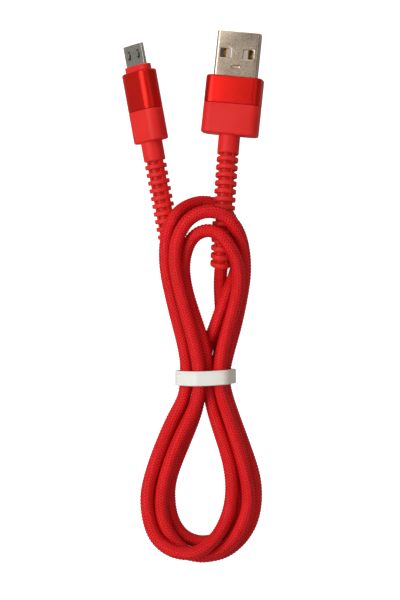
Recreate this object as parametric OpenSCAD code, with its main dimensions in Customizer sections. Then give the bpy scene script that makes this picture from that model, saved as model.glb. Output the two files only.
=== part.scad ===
// Charging cable with a USB-A plug and a micro-USB plug, wound into a two-lobed hank under a flat tie band.
// Lengths are in millimetres. X runs across the hank, Y along it towards the plugs, and Z up from the table.
// The origin is the middle of the whole footprint, on the table.

/* [Cord] */
// Outside diameter of the braided cord
cord_d = 3.8; // [3.5:0.1:3.8]

/* [USB-A plug] */
// Width of the housing and of the sleeve
usb_body_w = 15.7; // [15.2:0.1:16.2]
// Thickness of the housing and of the sleeve
usb_body_t = 7.8; // [7.4:0.1:7.8]
// Corner radius of the housing, seen along the plug
usb_body_r = 2.5; // [1.5:0.1:3]
// Length of the soft housing
usb_housing_l = 8.4; // [8:0.1:9]
// Length of the aluminium sleeve
usb_sleeve_l = 7.5; // [7:0.1:8]
// Length of the steel shell in front of the sleeve
usb_shell_out = 12.3; // [11.8:0.1:12.8]
// Roll of the plug about its own length, right side up
usb_roll = 8.5; // [7:0.5:9]

/* [Micro-USB plug] */
// Width of the housing and of the sleeve
micro_body_w = 10.2; // [10:0.1:10.4]
// Thickness of the housing and of the sleeve
micro_body_t = 6.4; // [6.2:0.1:6.4]
// Corner radius of the housing, seen along the plug
micro_body_r = 2.9; // [2.6:0.1:3]
// Length of the soft housing
micro_housing_l = 8.8; // [8.4:0.1:9]
// Length of the aluminium sleeve
micro_sleeve_l = 10.7; // [10.4:0.1:11]
// Length of the plastic collar in front of the sleeve
micro_collar_out = 1.6; // [1.4:0.1:1.8]
// Length of the steel shell in front of the collar
micro_shell_out = 5.9; // [5.6:0.1:6]
// Roll of the plug about its own length, right side up
micro_roll = 42; // [40:0.5:42]

/* [Strain reliefs] */
// Diameter of the smooth barrel next to the housing
barrel_d = 6; // [5.6:0.1:6]
// Length of the smooth barrel
barrel_l = 5.4; // [5:0.1:6]
// Diameter over the rings
ring_d = 6.06; // [5.8:0.02:6.06]
// Diameter of the core between the rings
core_d = 4.5; // [4.3:0.1:4.8]
// Number of rings
ring_count = 14; // [12:1:15]
// Share of each ring's pitch that is groove
groove_share = 0.43; // [0.35:0.01:0.5]

/* [Tie band] */
// Width of the band along the cords
tie_w = 4; // [3.5:0.1:4.5]
// Thickness of the band
tie_t = 0.8; // [0.6:0.1:0.8]

/* [Hidden] */
cord_r = cord_d / 2;
cord_sides = 8;
relief_sides = 20;
relief_samples = 40;
$fn = 48;

// Standard USB-A plug: steel shell, plastic tongue along one wall, four flat contacts.
usb_shell_w = 12;
usb_shell_t = 4.5;
usb_shell_wall = 0.3;
usb_shell_l = 18.7;
usb_tongue_t = 1.84;
usb_window_w = 2.9;
usb_window_l = 2.5;
usb_window_x = 3.15;
usb_window_from_tip = 6.05;
usb_recess_x = 3.8;
usb_recess_w = 1.5;
usb_recess_l = 2.7;
usb_dimple_w = 2.8;
usb_dimple_l = 1.2;
usb_dimple_from_tip = 9.7;
usb_dimple_depth = 0.12;
usb_contact_w = 1;
usb_contact_t = 0.25;
usb_contact_inner_x = 1;
usb_contact_outer_x = 3.5;
usb_contact_inner_setback = 2.6;
usb_contact_outer_setback = 1.2;
usb_contact_tail_y = 9;

// Standard micro-USB plug: chamfered steel shell, five flat contacts, two sprung hooks in slots.
micro_shell_w = 6.85;
micro_shell_t = 1.8;
micro_shell_wall = 0.2;
micro_shell_chamfer = 0.75;
micro_shell_back_y = 14;
micro_tongue_t = 0.4;
micro_contact_w = 0.3;
micro_contact_t = 0.15;
micro_contact_pitch = 0.55;
micro_contact_setback = 0.9;
micro_contact_tail_y = 13.2;
micro_collar_w = 8.3;
micro_collar_t = 4;
micro_collar_r = 1.9;
hook_x = 1.7;
hook_w = 0.7;
hook_slot_w = 1.2;
hook_slot_l = 2.6;
hook_slot_from_tip = 2.8;
hook_arm_t = 0.2;
hook_arm_z = 0.25;
hook_pivot_y = 19.4;
hook_rise = 0.35;

skin = 1;             // wall of the housings and of the sleeves
lip = 0.8;            // front wall of the sleeves
gap = 0.05;           // clearance round the embedded pieces
edge_round = 1.2;     // rounding of the housings' rear edges
wire_r = 0.36;
wire_sides = 16;
wire_elbow_y = 6;
wire_spread = 0.55;

// Plug places: the middle of the rear face, and the tilt of the plug's length away from +Y, to the left.
usb_rear = [10, 44.4, 4.7];
usb_tilt = -6;
micro_rear = [-11.5, 42.6, 4.65];
micro_tilt = 10.3;
usb_axis = [-sin(usb_tilt), cos(usb_tilt), 0];
micro_axis = [-sin(micro_tilt), cos(micro_tilt), 0];

usb_sleeve_y = usb_housing_l + 0.1;
usb_front_y = usb_sleeve_y + usb_sleeve_l;
usb_tip_y = usb_front_y + usb_shell_out;
micro_sleeve_y = micro_housing_l + 0.1;
micro_front_y = micro_sleeve_y + micro_sleeve_l;
micro_collar_y = micro_front_y + micro_collar_out;
micro_tip_y = micro_collar_y + micro_shell_out;

// The cord's route from the USB-A strain relief to the micro-USB strain relief: the middle of the cord.
// It turns four times through the lower lobe and three times through the upper lobe.
route = [
    // from the USB-A relief down to the tie, on the table
    [7.7, 8.5, 4.6], [7.5, 5.5, 2.9], [7.5, 1, 1.9], [7.9, -8, 1.9], [7.4, -15, 2.5], [6.2, -22.5, 2.95],
    // first lower turn, inner and lowest
    [7.8, -32, 2.1], [12.2, -48.5, 1.9], [13.1, -56, 1.9], [11.8, -62, 1.9], [8.2, -66.2, 1.9],
    [3, -67.9, 1.9], [-2.3, -66.3, 1.9], [-5.6, -61.8, 1.9], [-6.7, -56, 1.9], [-5.7, -48.5, 1.9],
    [0.5, -32.5, 2.1], [2, -23.5, 2.95], [3.3, -16, 2.7], [5.4, -10, 4.7], [7.4, -4.5, 5.7], [9.5, 1, 5.7],
    // outer upper arch: under the USB-A relief and over the micro-USB relief
    [11.5, 6, 3.4], [12.5, 11, 1.9], [11.8, 17.5, 1.9], [8.6, 23.8, 1.9], [3.6, 26, 2.8], [-1.6, 24.8, 5.7],
    [-5.3, 21.4, 8.2], [-7.2, 16, 8.3], [-7.5, 9, 7.8], [-6.2, 1, 6.6], [-4, -8, 6.2], [-2, -17, 6.5],
    // second lower turn, outer on the left and uppermost
    [-2.1, -26, 6.5], [-6, -34.5, 5.7], [-12.1, -51, 5.3], [-12.7, -58, 5.3], [-10.9, -65, 6.2],
    [-6.4, -69.2, 8.6], [-0.3, -70.1, 9.6], [4.6, -67.6, 8.4], [8.2, -63, 6.3], [10.2, -57, 5], [10.4, -49.5, 5.1],
    [8.2, -40, 5.3], [5.2, -30, 5.9], [4.2, -23, 6.2], [3.2, -15, 7.1], [0.9, -7, 6.7], [-1.6, 1, 6.2], [-2.6, 8, 7.4],
    // inner upper arch, over the USB-A relief
    [-1.6, 13.3, 8.6], [0.6, 16.6, 9.7], [4, 17.9, 10.9], [7.3, 16.7, 11.7], [9.8, 13.7, 11.5], [11.7, 10, 10.5],
    [12.4, 4.5, 9.7], [11.4, -2, 9.1], [9.2, -10, 8.9], [7.5, -18, 9.2], [7.5, -25, 9.1],
    // third lower turn, inner on the left
    [10.4, -35, 7.2], [14.9, -52, 5.3], [14.5, -60, 5.3], [11.2, -66.6, 5.6], [5.7, -70.8, 5.7], [-0.6, -70.8, 5.7],
    [-5.7, -66.6, 5.6], [-8.5, -60.5, 5.4], [-8.5, -53, 5.4], [-5.9, -44, 5.6], [-2.1, -35.5, 7], [1.2, -27.5, 8.8],
    [1.3, -18, 9.8], [-0.7, -9, 10], [-3.2, 0, 9.8], [-4.9, 9, 10.6],
    // front upper arch, over both reliefs
    [-4.2, 15.5, 11.3], [-1.6, 20.3, 11.7], [2.5, 22.8, 12.1], [7.3, 22.5, 12.2], [11.2, 19.4, 11], [13.4, 14.4, 7.8],
    [14.1, 7, 6.4], [12.9, -2, 5.7], [10.8, -11, 5.3], [8.5, -20.5, 5.6],
    // fourth lower turn, outer and on the table, then on to the micro-USB relief
    [9.4, -28, 4.9], [15.4, -45, 1.9], [17.2, -53, 1.9], [16.6, -60.5, 1.9], [13.2, -67, 1.9], [7.9, -70.9, 1.9],
    [1.8, -71.7, 1.9], [-4, -70.4, 1.9], [-8.6, -66.2, 1.9], [-10.7, -60, 1.9], [-10.3, -51.5, 1.9], [-7.9, -43, 1.9],
    [-3.6, -32, 2.1], [-2, -23.5, 2.95], [-2.3, -14, 2.2], [-4, -4, 1.9], [-5.2, 7.6, 3.05]
];

// Middle line of each strain relief, as a Bezier curve from the housing to the start of the cord's free length.
usb_relief_line = [usb_rear, usb_rear - 5 * usb_axis, [8.2, 22, 9.9], route[0]];
micro_relief_line = [micro_rear, micro_rear - 12 * micro_axis, [-6.9, 17.5, 3.1], route[len(route) - 1]];

// Middle points of the cords that the tie band wraps, seen along Y, as [X, Z].
tie_corners = [[-2.2, 2.8], [-2.2, 6.6], [1.4, 9.8], [7.5, 9.5], [9, 5.4], [6.5, 2.8]];
tie_inner_r = 2;
tie_y = -22.3;
tie_turn = 2;
tie_arc_steps = 5;

function unit(v) = v / norm(v);

// A point on a Bezier curve through four control points, and the curve's direction there.
function bezier(p, t) = pow(1 - t, 3) * p[0] + 3 * t * pow(1 - t, 2) * p[1] + 3 * t * t * (1 - t) * p[2] + t * t * t * p[3];
function bezier_way(p, t) = unit(pow(1 - t, 2) * (p[1] - p[0]) + 2 * t * (1 - t) * (p[2] - p[1]) + t * t * (p[3] - p[2]));

// Arc length along a Bezier curve against its parameter, for lookup().
function bezier_length(p, t) = t <= 0 ? 0 : bezier_length(p, t - 1 / relief_samples)
    + norm(bezier(p, t) - bezier(p, t - 1 / relief_samples));
function length_table(p) = [for (i = [0:relief_samples]) [bezier_length(p, i / relief_samples), i / relief_samples]];

// One ring of points round a centre, square to a direction that is never vertical.
function ring_points(centre, way, r, sides) =
    let (side = unit(cross(way, [0, 0, 1])), up = cross(side, way))
    [for (k = [0:sides - 1]) let (a = 360 * (k + 0.5) / sides) centre + r * (cos(a) * side + sin(a) * up)];

function ring_faces(count, sides) = concat(
    [[for (k = [sides - 1:-1:0]) k]],
    [for (i = [0:count - 2]) for (k = [0:sides - 1])
        let (n = (k + 1) % sides)
        [i * sides + k, i * sides + n, (i + 1) * sides + n, (i + 1) * sides + k]],
    [[for (k = [0:sides - 1]) (count - 1) * sides + k]]
);

// Direction of a line of points at one of them.
function path_way(p, i) =
    i == 0 ? unit(p[1] - p[0])
    : i == len(p) - 1 ? unit(p[i] - p[i - 1])
    : unit(unit(p[i + 1] - p[i]) + unit(p[i] - p[i - 1]));

// Direction of the cord at each of the route's points; its ends follow the strain reliefs.
function route_way(i) =
    i == 0 ? bezier_way(usb_relief_line, 1)
    : i == len(route) - 1 ? -bezier_way(micro_relief_line, 1)
    : path_way(route, i);

module usb_frame() {
    translate(usb_rear) rotate([0, 0, usb_tilt]) rotate([0, -usb_roll, 0]) children();
}

// The tongue's own frame: the plug turned over, so that its tongue lies along the upper side of the shell.
module usb_inner_frame() {
    usb_frame() rotate([0, 180, 0]) children();
}

module micro_frame() {
    translate(micro_rear) rotate([0, 0, micro_tilt]) rotate([0, -micro_roll, 0]) children();
}

module rounded_rect(w, h, r) {
    square([w - 2 * r, h], center = true);
    square([w, h - 2 * r], center = true);
    for (x = [-1, 1], y = [-1, 1]) translate([x * (w / 2 - r), y * (h / 2 - r)]) circle(r);
}

// A bar along Y whose section is the 2-D shape that follows, drawn as [X, Z].
module along_y(y0, y1) {
    translate([0, y1, 0]) rotate([90, 0, 0]) linear_extrude(y1 - y0) children();
}

// A tube along a line of points, with its ends square to the line.
module tube(points, r, sides) {
    rings = [for (i = [0:len(points) - 1]) each ring_points(points[i], path_way(points, i), r, sides)];
    polyhedron(rings, ring_faces(len(points), sides), convexity = 6);
}

// Housing with its rear edges rounded, from y = 0 to y1.
module soft_body(w, t, r, y1) {
    hull() {
        for (a = [0:22.5:90]) {
            inset = edge_round * (1 - cos(a));
            y = edge_round * (1 - sin(a));
            along_y(y, y + 0.01) rounded_rect(w - 2 * inset, t - 2 * inset, r - inset, $fn = 32);
        }
        along_y(y1 - 0.01, y1) rounded_rect(w, t, r, $fn = 32);
    }
}

module relief(line, roll) {
    table = length_table(line);
    total = table[relief_samples][0];
    pitch = (total - barrel_l) / ring_count;
    groove = pitch * groove_share;
    flank = 0.12;
    stations = concat(
        [[0, barrel_d / 2], [barrel_l - flank, barrel_d / 2], [barrel_l, core_d / 2]],
        [for (i = [0:ring_count - 1]) let (s = barrel_l + i * pitch)
            each [[s + groove, core_d / 2], [s + groove + flank, ring_d / 2], [s + pitch - flank, ring_d / 2],
                  [s + pitch, i == ring_count - 1 ? ring_d / 2 - flank : core_d / 2]]]
    );
    points = [for (st = stations) let (t = lookup(st[0], table))
        each ring_points(bezier(line, t), bezier_way(line, t), st[1], relief_sides)];
    polyhedron(points, ring_faces(len(stations), relief_sides), convexity = 6);
}

module usb_shell() {
    color("silver") usb_frame() difference() {
        along_y(usb_tip_y - usb_shell_l, usb_tip_y) rounded_rect(usb_shell_w, usb_shell_t, 0.5);
        along_y(usb_tip_y - usb_shell_l - 1, usb_tip_y + 1)
            rounded_rect(usb_shell_w - 2 * usb_shell_wall, usb_shell_t - 2 * usb_shell_wall, 0.25);
        for (x = [-usb_window_x, usb_window_x]) translate([x, usb_tip_y - usb_window_from_tip, -usb_shell_t])
            linear_extrude(2 * usb_shell_t) rounded_rect(usb_window_w, usb_window_l, 0.4);
        translate([0, usb_tip_y - usb_dimple_from_tip, usb_shell_t / 2 - usb_dimple_depth])
            linear_extrude(1) rounded_rect(usb_dimple_w, usb_dimple_l, 0.55);
    }
}

usb_tongue_top = -usb_shell_t / 2 + usb_shell_wall + gap + usb_tongue_t;

module usb_contact_shape(x, setback) {
    y0 = usb_contact_tail_y;
    y1 = usb_tip_y - setback;
    translate([x - usb_contact_w / 2, y0, usb_tongue_top - usb_contact_t])
        cube([usb_contact_w, y1 - y0, usb_contact_t]);
}

module usb_contact(x, setback) {
    color("gold") usb_inner_frame() usb_contact_shape(x, setback);
}

module usb_tongue() {
    color("whitesmoke") usb_inner_frame() difference() {
        along_y(usb_contact_tail_y + 0.8, usb_tip_y - 0.3)
            translate([0, usb_tongue_top - usb_tongue_t / 2])
            rounded_rect(usb_shell_w - 2 * usb_shell_wall - 2 * gap, usb_tongue_t, 0.2);
        for (x = [-usb_contact_inner_x, usb_contact_inner_x]) usb_contact_shape(x, usb_contact_inner_setback);
        for (x = [-usb_contact_outer_x, usb_contact_outer_x]) usb_contact_shape(x, usb_contact_outer_setback);
        for (x = [-usb_recess_x, usb_recess_x]) translate([x, usb_tip_y - usb_window_from_tip, -usb_shell_t])
            linear_extrude(usb_shell_t + usb_tongue_top - usb_contact_t) square([usb_recess_w, usb_recess_l], center = true);
    }
}

// A wire fans out from the cord's end to the tail of its contact.
module usb_wire_shape(x, start, r) {
    z = usb_tongue_top - usb_contact_t - wire_r - gap;
    tube([[start.x, 0.2, start.y], [x, wire_elbow_y, z], [x, usb_contact_tail_y + 0.7, z]], r, wire_sides);
}

module usb_wire(x, start, shade) {
    color(shade) usb_inner_frame() usb_wire_shape(x, start, wire_r);
}

usb_wire_starts = [[-wire_spread, wire_spread], [-wire_spread, -wire_spread], [wire_spread, -wire_spread], [wire_spread, wire_spread]];
usb_wire_xs = [-usb_contact_outer_x, -usb_contact_inner_x, usb_contact_inner_x, usb_contact_outer_x];

module usb_inner_mould() {
    color("ivory") usb_frame() difference() {
        along_y(skin + gap, usb_front_y - lip - gap)
            rounded_rect(usb_body_w - 2 * (skin + gap), usb_body_t - 2 * (skin + gap), usb_body_r - skin);
        along_y(usb_tip_y - usb_shell_l - gap, usb_front_y + 1)
            rounded_rect(usb_shell_w + 2 * gap, usb_shell_t + 2 * gap, 0.5);
        rotate([0, 180, 0]) {
            for (x = usb_wire_xs) {
                translate([x - usb_contact_w / 2 - gap, usb_contact_tail_y - gap, usb_tongue_top - usb_contact_t - gap])
                    cube([usb_contact_w + 2 * gap, 2, usb_contact_t + 2 * gap]);
            }
            for (i = [0:3]) usb_wire_shape(usb_wire_xs[i], usb_wire_starts[i], wire_r + gap);
        }
    }
}

module usb_sleeve() {
    color("firebrick") usb_frame() difference() {
        along_y(usb_sleeve_y, usb_front_y) rounded_rect(usb_body_w, usb_body_t, usb_body_r);
        along_y(usb_sleeve_y - 1, usb_front_y - lip)
            rounded_rect(usb_body_w - 2 * skin, usb_body_t - 2 * skin, usb_body_r - skin);
        along_y(usb_sleeve_y - 1, usb_front_y + 1) rounded_rect(usb_shell_w + 2 * gap, usb_shell_t + 2 * gap, 0.5);
    }
}

module usb_housing() {
    color("red") usb_frame() difference() {
        soft_body(usb_body_w, usb_body_t, usb_body_r, usb_housing_l);
        along_y(skin, usb_housing_l + 1)
            rounded_rect(usb_body_w - 2 * skin, usb_body_t - 2 * skin, usb_body_r - skin);
        rotate([0, 180, 0]) for (i = [0:3]) usb_wire_shape(usb_wire_xs[i], usb_wire_starts[i], wire_r + gap);
    }
}

module micro_outline(inset) {
    w = micro_shell_w / 2 - inset;
    t = micro_shell_t / 2 - inset;
    c = micro_shell_chamfer;
    polygon([[-w, t], [w, t], [w, c - t], [w - c, -t], [c - w, -t], [-w, c - t]]);
}

module micro_shell() {
    color("gray") micro_frame() difference() {
        along_y(micro_shell_back_y, micro_tip_y) micro_outline(0);
        along_y(micro_shell_back_y - 1, micro_tip_y + 1) micro_outline(micro_shell_wall);
        for (x = [-hook_x, hook_x]) translate([x, micro_tip_y - hook_slot_from_tip, 0])
            linear_extrude(micro_shell_t) rounded_rect(hook_slot_w, hook_slot_l, 0.2);
    }
}

micro_tongue_top = -micro_shell_t / 2 + micro_shell_wall + gap + micro_tongue_t;
micro_contact_xs = [for (i = [-2:2]) i * micro_contact_pitch];

module micro_contact_shape(x) {
    translate([x - micro_contact_w / 2, micro_contact_tail_y, micro_tongue_top - micro_contact_t])
        cube([micro_contact_w, micro_tip_y - micro_contact_setback - micro_contact_tail_y, micro_contact_t]);
}

module micro_contact(x) {
    color("gold") micro_frame() micro_contact_shape(x);
}

module micro_tongue() {
    inner_w = micro_shell_w - 2 * micro_shell_wall - 2 * micro_shell_chamfer;
    color("dimgray") micro_frame() difference() {
        along_y(micro_contact_tail_y + 0.7, micro_tip_y - 0.3)
            translate([-inner_w / 2, micro_tongue_top - micro_tongue_t]) square([inner_w, micro_tongue_t]);
        for (x = micro_contact_xs) micro_contact_shape(x);
    }
}

// A sprung hook: a flat arm in the plug's length with a ramped nose that stands out of its slot.
module micro_latch(x) {
    nose_y = micro_tip_y - hook_slot_from_tip;
    top = micro_shell_t / 2 + hook_rise;
    arm_top = hook_arm_z + hook_arm_t;
    color("lightgray") micro_frame() translate([x - hook_w / 2, 0, 0]) rotate([90, 0, 90]) linear_extrude(hook_w)
        polygon([
            [hook_pivot_y - 1, hook_arm_z], [nose_y + 1.05, hook_arm_z], [nose_y + 1.05, arm_top],
            [nose_y + 0.15, top], [nose_y - 0.6, top], [nose_y - 0.85, arm_top], [hook_pivot_y - 1, arm_top]
        ]);
}

module micro_collar() {
    back_y = micro_front_y - lip - 1.5;
    color("red") micro_frame() difference() {
        along_y(back_y, micro_collar_y) rounded_rect(micro_collar_w, micro_collar_t, micro_collar_r);
        along_y(back_y - 1, micro_collar_y + 1) micro_outline(-gap);
    }
}

module micro_wire_shape(x, start, r) {
    z = micro_tongue_top - micro_contact_t - wire_r - gap;
    tube([[start.x, 0.2, start.y], [x, wire_elbow_y, z], [x, micro_contact_tail_y + 0.6, z]], r, wire_sides);
}

module micro_wire(x, start, shade) {
    color(shade) micro_frame() micro_wire_shape(x, start, wire_r);
}

micro_wire_xs = [-1.65, -0.55, 0.55, 1.65];

module micro_inner_mould() {
    y1 = micro_front_y - lip - 1.5 - gap;
    color("ivory") micro_frame() difference() {
        along_y(skin + gap, y1)
            rounded_rect(micro_body_w - 2 * (skin + gap), micro_body_t - 2 * (skin + gap), micro_body_r - skin - gap);
        translate([-micro_shell_w / 2 - gap, micro_contact_tail_y - gap, -micro_shell_t / 2 - gap])
            cube([micro_shell_w + 2 * gap, y1, micro_shell_t + 2 * gap]);
        for (i = [0:3]) micro_wire_shape(micro_wire_xs[i], usb_wire_starts[i], wire_r + gap);
    }
}

module micro_sleeve() {
    color("firebrick") micro_frame() difference() {
        along_y(micro_sleeve_y, micro_front_y) rounded_rect(micro_body_w, micro_body_t, micro_body_r);
        along_y(micro_sleeve_y - 1, micro_front_y - lip)
            rounded_rect(micro_body_w - 2 * skin, micro_body_t - 2 * skin, micro_body_r - skin);
        along_y(micro_sleeve_y - 1, micro_front_y + 1)
            rounded_rect(micro_collar_w + 2 * gap, micro_collar_t + 2 * gap, micro_collar_r + gap);
    }
}

module micro_housing() {
    color("red") micro_frame() difference() {
        soft_body(micro_body_w, micro_body_t, micro_body_r, micro_housing_l);
        along_y(skin, micro_housing_l + 1)
            rounded_rect(micro_body_w - 2 * skin, micro_body_t - 2 * skin, micro_body_r - skin);
        for (i = [0:3]) micro_wire_shape(micro_wire_xs[i], usb_wire_starts[i], wire_r + gap);
    }
}

module usb_relief() {
    color("red") relief(usb_relief_line);
}

module micro_relief() {
    color("red") relief(micro_relief_line);
}

module cord() {
    points = [for (i = [0:len(route) - 1]) each ring_points(route[i], route_way(i), cord_r, cord_sides)];
    color("crimson") polyhedron(points, ring_faces(len(route), cord_sides), convexity = 20);
}

// The outline round a convex set of equal circles, listed clockwise: an arc at each, joined by straight runs.
function wrap_points(centres, r) =
    let (n = len(centres))
    [for (i = [0:n - 1])
        let (a = centres[(i + n - 1) % n], b = centres[i], c = centres[(i + 1) % n])
        let (turn_in = atan2(b.x - a.x, a.y - b.y), turn_out = atan2(c.x - b.x, b.y - c.y))
        let (sweep = (turn_in - turn_out + 360) % 360)
        for (k = [0:tie_arc_steps]) let (w = turn_in - sweep * k / tie_arc_steps) b + r * [cos(w), sin(w)]];

module tie() {
    color("white") translate([0, tie_y, 0]) rotate([0, 0, tie_turn]) along_y(-tie_w / 2, tie_w / 2) difference() {
        polygon(wrap_points(tie_corners, tie_inner_r + tie_t));
        polygon(wrap_points(tie_corners, tie_inner_r));
    }
}

usb_shell();  // usb_a_shell
usb_tongue();  // usb_a_tongue
usb_contact(usb_wire_xs[0], usb_contact_outer_setback);  // usb_a_contact_power
usb_contact(usb_wire_xs[1], usb_contact_inner_setback);  // usb_a_contact_data_minus
usb_contact(usb_wire_xs[2], usb_contact_inner_setback);  // usb_a_contact_data_plus
usb_contact(usb_wire_xs[3], usb_contact_outer_setback);  // usb_a_contact_ground
usb_inner_mould();  // usb_a_inner_mould
usb_sleeve();  // usb_a_sleeve
usb_housing();  // usb_a_housing
usb_relief();  // usb_a_strain_relief
usb_wire(usb_wire_xs[0], usb_wire_starts[0], "red");  // usb_a_wire_power
usb_wire(usb_wire_xs[1], usb_wire_starts[1], "white");  // usb_a_wire_data_minus
usb_wire(usb_wire_xs[2], usb_wire_starts[2], "green");  // usb_a_wire_data_plus
usb_wire(usb_wire_xs[3], usb_wire_starts[3], "black");  // usb_a_wire_ground
micro_shell();  // micro_usb_shell
micro_tongue();  // micro_usb_tongue
micro_contact(micro_contact_xs[0]);  // micro_usb_contact_power
micro_contact(micro_contact_xs[1]);  // micro_usb_contact_data_minus
micro_contact(micro_contact_xs[2]);  // micro_usb_contact_data_plus
micro_contact(micro_contact_xs[3]);  // micro_usb_contact_id
micro_contact(micro_contact_xs[4]);  // micro_usb_contact_ground
micro_latch(-hook_x);  // micro_usb_latch_left
micro_latch(hook_x);  // micro_usb_latch_right
micro_collar();  // micro_usb_collar
micro_inner_mould();  // micro_usb_inner_mould
micro_sleeve();  // micro_usb_sleeve
micro_housing();  // micro_usb_housing
micro_relief();  // micro_usb_strain_relief
micro_wire(micro_wire_xs[0], usb_wire_starts[0], "red");  // micro_usb_wire_power
micro_wire(micro_wire_xs[1], usb_wire_starts[1], "white");  // micro_usb_wire_data_minus
micro_wire(micro_wire_xs[2], usb_wire_starts[2], "green");  // micro_usb_wire_data_plus
micro_wire(micro_wire_xs[3], usb_wire_starts[3], "black");  // micro_usb_wire_ground
cord();  // braided_cord
tie();  // tie_band
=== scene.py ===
"""Braided charging cable, wound into a hank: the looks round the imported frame.

Metres; X right, Y towards the plugs, Z up.
"""

import math

import bpy
import numpy as np
from mathutils import Matrix, Vector


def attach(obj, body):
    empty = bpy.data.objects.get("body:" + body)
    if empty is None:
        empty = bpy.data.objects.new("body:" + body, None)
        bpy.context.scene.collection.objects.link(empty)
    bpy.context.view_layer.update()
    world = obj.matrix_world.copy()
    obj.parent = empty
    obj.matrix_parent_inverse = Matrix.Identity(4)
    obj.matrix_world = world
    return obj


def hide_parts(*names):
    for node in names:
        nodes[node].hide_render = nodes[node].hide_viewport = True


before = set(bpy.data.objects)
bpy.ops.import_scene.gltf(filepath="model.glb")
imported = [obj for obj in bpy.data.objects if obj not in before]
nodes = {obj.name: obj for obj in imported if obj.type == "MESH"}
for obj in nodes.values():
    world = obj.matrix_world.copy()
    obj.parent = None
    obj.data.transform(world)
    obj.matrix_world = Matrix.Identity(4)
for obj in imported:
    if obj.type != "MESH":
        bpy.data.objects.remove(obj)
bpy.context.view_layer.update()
MM = 0.001

# ---------------------------------------------------------------- camera
CAMERA_X = 1.87 * MM
CAMERA_Y = -0.99 * MM
CAMERA_HEIGHT = 550 * MM
FIELD_HEIGHT = 165.3 * MM      # height of the picture where the cords lie
FIELD_LEVEL = 4.5 * MM

camera_data = bpy.data.cameras.new("camera")
camera = bpy.data.objects.new("camera", camera_data)
bpy.context.scene.collection.objects.link(camera)
camera.location = (CAMERA_X, CAMERA_Y, CAMERA_HEIGHT)
camera.rotation_euler = (0, 0, 0)      # straight down
camera_data.sensor_fit = "VERTICAL"
camera_data.angle = 2 * math.atan(FIELD_HEIGHT / 2 / (CAMERA_HEIGHT - FIELD_LEVEL))
camera_data.clip_start = 0.01
camera_data.clip_end = 10
bpy.context.scene.camera = camera

# ---------------------------------------------------------------- the cord's route
# Points of its middle line in millimetres, as in part.scad.
ROUTE = [
    # from the USB-A relief down to the tie, on the table
    (7.7, 8.5, 4.6), (7.5, 5.5, 2.9), (7.5, 1, 1.9), (7.9, -8, 1.9), (7.4, -15, 2.5),
    (6.2, -22.5, 2.95),
    # first lower turn, inner and lowest
    (7.8, -32, 2.1), (12.2, -48.5, 1.9), (13.1, -56, 1.9), (11.8, -62, 1.9), (8.2, -66.2, 1.9),
    (3, -67.9, 1.9), (-2.3, -66.3, 1.9), (-5.6, -61.8, 1.9), (-6.7, -56, 1.9), (-5.7, -48.5, 1.9),
    (0.5, -32.5, 2.1), (2, -23.5, 2.95), (3.3, -16, 2.7), (5.4, -10, 4.7), (7.4, -4.5, 5.7),
    (9.5, 1, 5.7),
    # outer upper arch: under the USB-A relief and over the micro-USB relief
    (11.5, 6, 3.4), (12.5, 11, 1.9), (11.8, 17.5, 1.9), (8.6, 23.8, 1.9), (3.6, 26, 2.8),
    (-1.6, 24.8, 5.7), (-5.3, 21.4, 8.2), (-7.2, 16, 8.3), (-7.5, 9, 7.8), (-6.2, 1, 6.6),
    (-4, -8, 6.2), (-2, -17, 6.5),
    # second lower turn, outer on the left and uppermost
    (-2.1, -26, 6.5), (-6, -34.5, 5.7), (-12.1, -51, 5.3), (-12.7, -58, 5.3), (-10.9, -65, 6.2),
    (-6.4, -69.2, 8.6), (-0.3, -70.1, 9.6), (4.6, -67.6, 8.4), (8.2, -63, 6.3), (10.2, -57, 5),
    (10.4, -49.5, 5.1), (8.2, -40, 5.3), (5.2, -30, 5.9), (4.2, -23, 6.2), (3.2, -15, 7.1),
    (0.9, -7, 6.7), (-1.6, 1, 6.2), (-2.6, 8, 7.4),
    # inner upper arch, over the USB-A relief
    (-1.6, 13.3, 8.6), (0.6, 16.6, 9.7), (4, 17.9, 10.9), (7.3, 16.7, 11.7), (9.8, 13.7, 11.5),
    (11.7, 10, 10.5), (12.4, 4.5, 9.7), (11.4, -2, 9.1), (9.2, -10, 8.9), (7.5, -18, 9.2),
    (7.5, -25, 9.1),
    # third lower turn, inner on the left
    (10.4, -35, 7.2), (14.9, -52, 5.3), (14.5, -60, 5.3), (11.2, -66.6, 5.6), (5.7, -70.8, 5.7),
    (-0.6, -70.8, 5.7), (-5.7, -66.6, 5.6), (-8.5, -60.5, 5.4), (-8.5, -53, 5.4), (-5.9, -44, 5.6),
    (-2.1, -35.5, 7), (1.2, -27.5, 8.8), (1.3, -18, 9.8), (-0.7, -9, 10), (-3.2, 0, 9.8),
    (-4.9, 9, 10.6),
    # front upper arch, over both reliefs
    (-4.2, 15.5, 11.3), (-1.6, 20.3, 11.7), (2.5, 22.8, 12.1), (7.3, 22.5, 12.2), (11.2, 19.4, 11),
    (13.4, 14.4, 7.8), (14.1, 7, 6.4), (12.9, -2, 5.7), (10.8, -11, 5.3), (8.5, -20.5, 5.6),
    # fourth lower turn, outer and on the table, then on to the micro-USB relief
    (9.4, -28, 4.9), (15.4, -45, 1.9), (17.2, -53, 1.9), (16.6, -60.5, 1.9), (13.2, -67, 1.9),
    (7.9, -70.9, 1.9), (1.8, -71.7, 1.9), (-4, -70.4, 1.9), (-8.6, -66.2, 1.9), (-10.7, -60, 1.9),
    (-10.3, -51.5, 1.9), (-7.9, -43, 1.9), (-3.6, -32, 2.1), (-2, -23.5, 2.95), (-2.3, -14, 2.2),
    (-4, -4, 1.9), (-5.2, 7.6, 3.05),
]
CORD_R = 1.9
CORD_IN_RELIEF = 3.0           # how far each end runs on into its relief

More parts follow.
